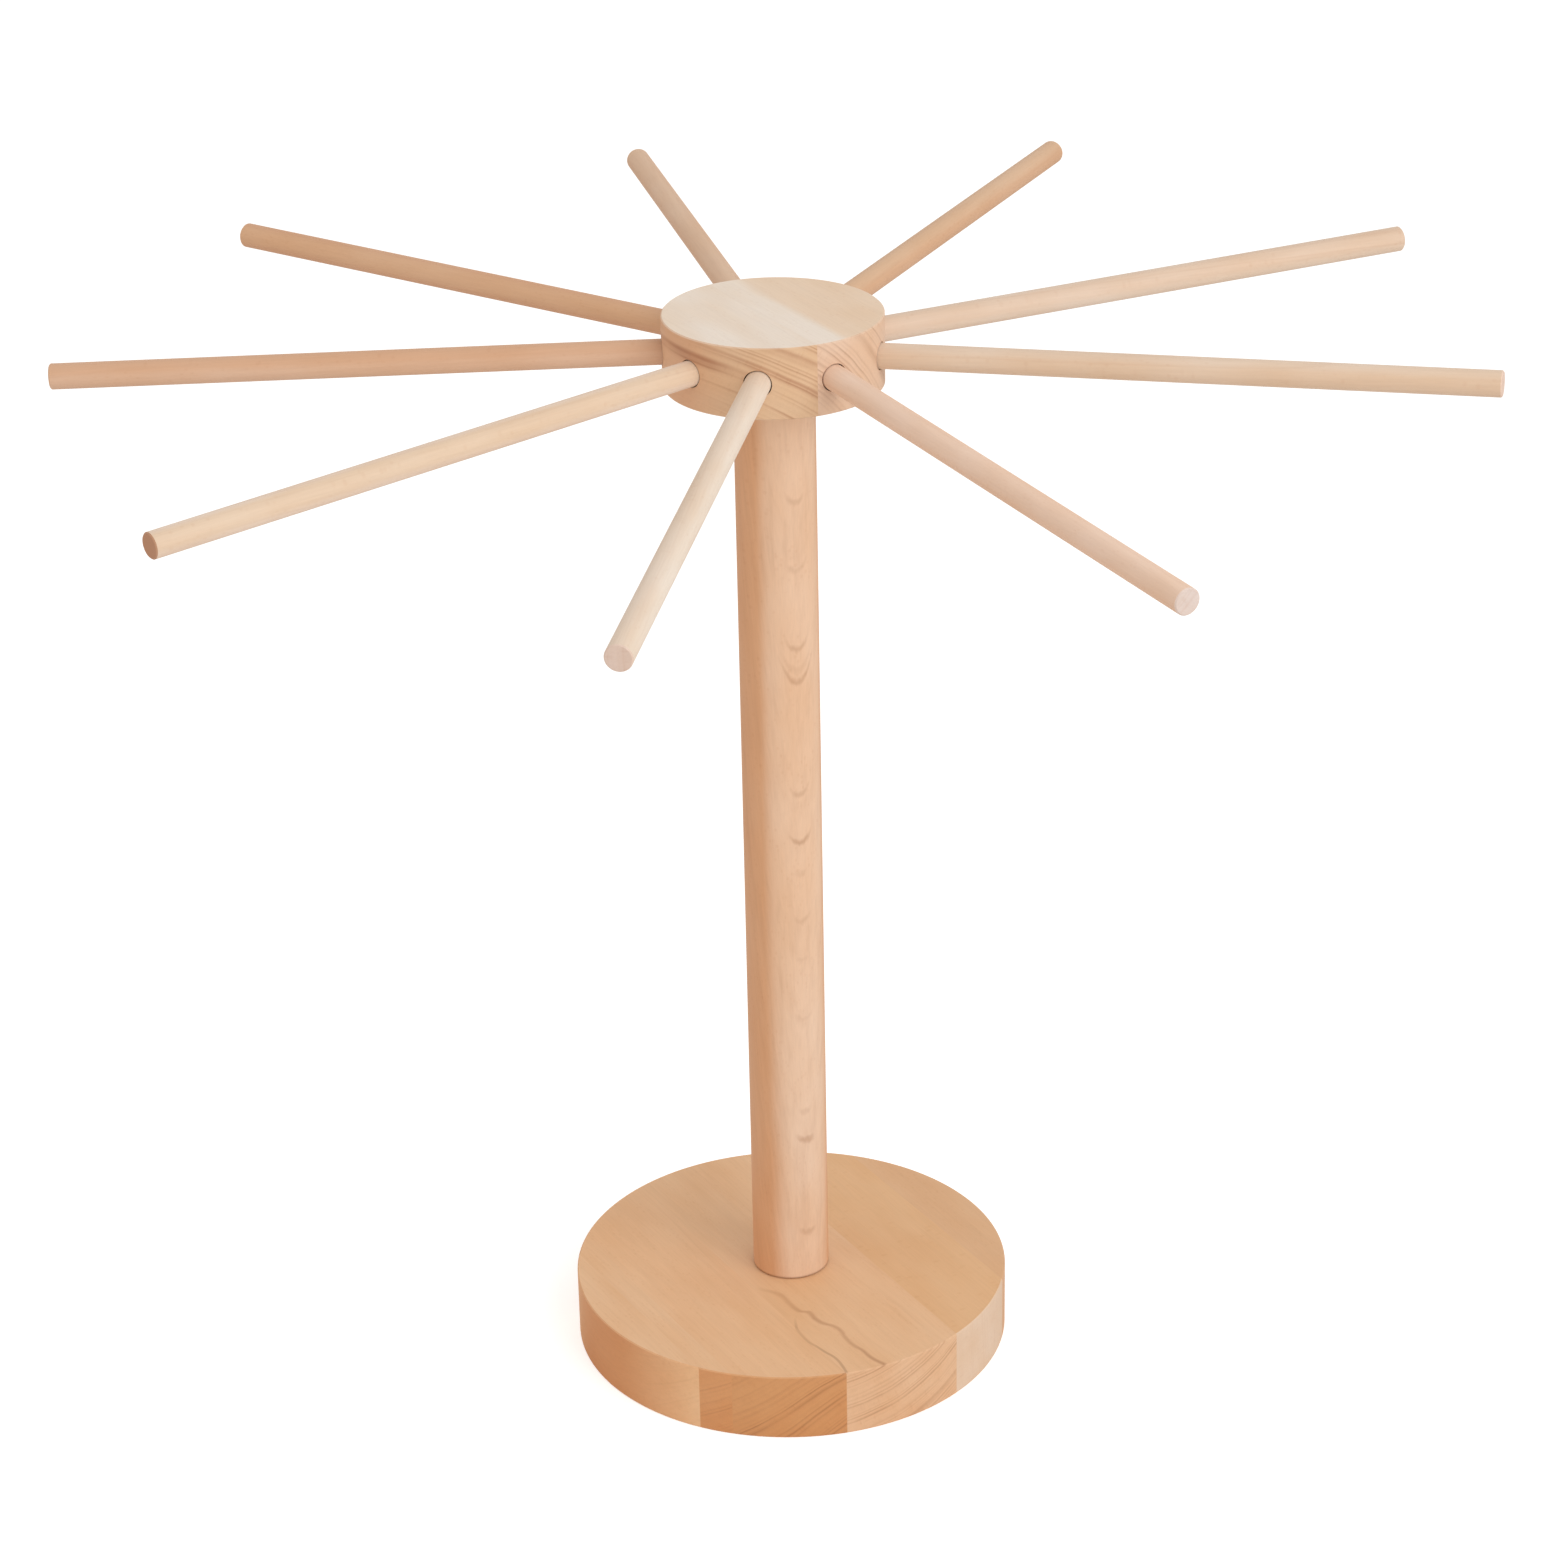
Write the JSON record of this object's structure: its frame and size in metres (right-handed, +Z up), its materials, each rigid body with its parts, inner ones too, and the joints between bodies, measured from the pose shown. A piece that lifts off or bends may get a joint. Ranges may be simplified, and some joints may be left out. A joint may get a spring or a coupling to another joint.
{
  "type": "pasta drying rack",
  "caption": "Wooden pasta drying rack: a round base and post carry a round head that turns and lifts off, with loose radial rods that push into it.",
  "frame": {"origin": "middle of the base's underside, on the table", "axes": "+Z up along the post, -Y towards the viewer of the picture, +X to the right"},
  "size_m": [0.5974, 0.5984, 0.496],
  "materials": {
    "base_beech": "sanded, bare beech",
    "head_beech": "sanded, bare beech",
    "post_beech": "sanded, bare beech",
    "rod_beech": "sanded, bare beech",
    "pin_beech": "plain beech dowel",
    "zinc_steel": "zinc plated"
  },
  "bodies": {
    "stand": {"base_stave_1": "base_beech", "base_stave_2": "base_beech", "base_stave_3": "base_beech", "base_stave_4": "base_beech", "base_stave_5": "base_beech", "base_stave_6": "base_beech", "post": "post_beech", "post_screw": "zinc_steel"},
    "pin": {"head_pin": "pin_beech"},
    "head": {"head_stave_1": "head_beech", "head_stave_2": "head_beech"},
    "rod_1": {"rod_1": "rod_beech"},
    "rod_2": {"rod_2": "rod_beech"},
    "rod_3": {"rod_3": "rod_beech"},
    "rod_4": {"rod_4": "rod_beech"},
    "rod_5": {"rod_5": "rod_beech"},
    "rod_6": {"rod_6": "rod_beech"},
    "rod_7": {"rod_7": "rod_beech"},
    "rod_8": {"rod_8": "rod_beech"},
    "rod_9": {"rod_9": "rod_beech"}
  },
  "joints": [
    {"name": "head_lift", "type": "slide", "parent": "stand", "child": "pin", "axis": [0, 0, 1], "range_m": [0, 0.022]},
    {"name": "head_turn", "type": "hinge", "parent": "pin", "child": "head", "pos_m": [0, 0, 0.465], "axis": [0, 0, 1], "continuous": true},
    {"name": "rod_1_pull", "type": "slide", "parent": "head", "child": "rod_1", "axis": [-0.1957, -0.9795, -0.0471], "range_m": [0, 0.024]},
    {"name": "rod_2_pull", "type": "slide", "parent": "head", "child": "rod_2", "axis": [0.4784, -0.8775, -0.0332], "range_m": [0, 0.024]},
    {"name": "rod_3_pull", "type": "slide", "parent": "head", "child": "rod_3", "axis": [0.9578, -0.2855, 0.0332], "range_m": [0, 0.024]},
    {"name": "rod_4_pull", "type": "slide", "parent": "head", "child": "rod_4", "axis": [0.9211, 0.3891, 0.0157], "range_m": [0, 0.024]},
    {"name": "rod_5_pull", "type": "slide", "parent": "head", "child": "rod_5", "axis": [0.4431, 0.8965, 0.007], "range_m": [0, 0.024]},
    {"name": "rod_6_pull", "type": "slide", "parent": "head", "child": "rod_6", "axis": [-0.2096, 0.9776, -0.0209], "range_m": [0, 0.024]},
    {"name": "rod_7_pull", "type": "slide", "parent": "head", "child": "rod_7", "axis": [-0.7932, 0.6087, -0.0175], "range_m": [0, 0.024]},
    {"name": "rod_8_pull", "type": "slide", "parent": "head", "child": "rod_8", "axis": [-0.9996, 0.0122, -0.0262], "range_m": [0, 0.024]},
    {"name": "rod_9_pull", "type": "slide", "parent": "head", "child": "rod_9", "axis": [-0.7886, -0.6139, -0.0349], "range_m": [0, 0.024]}
  ]
}
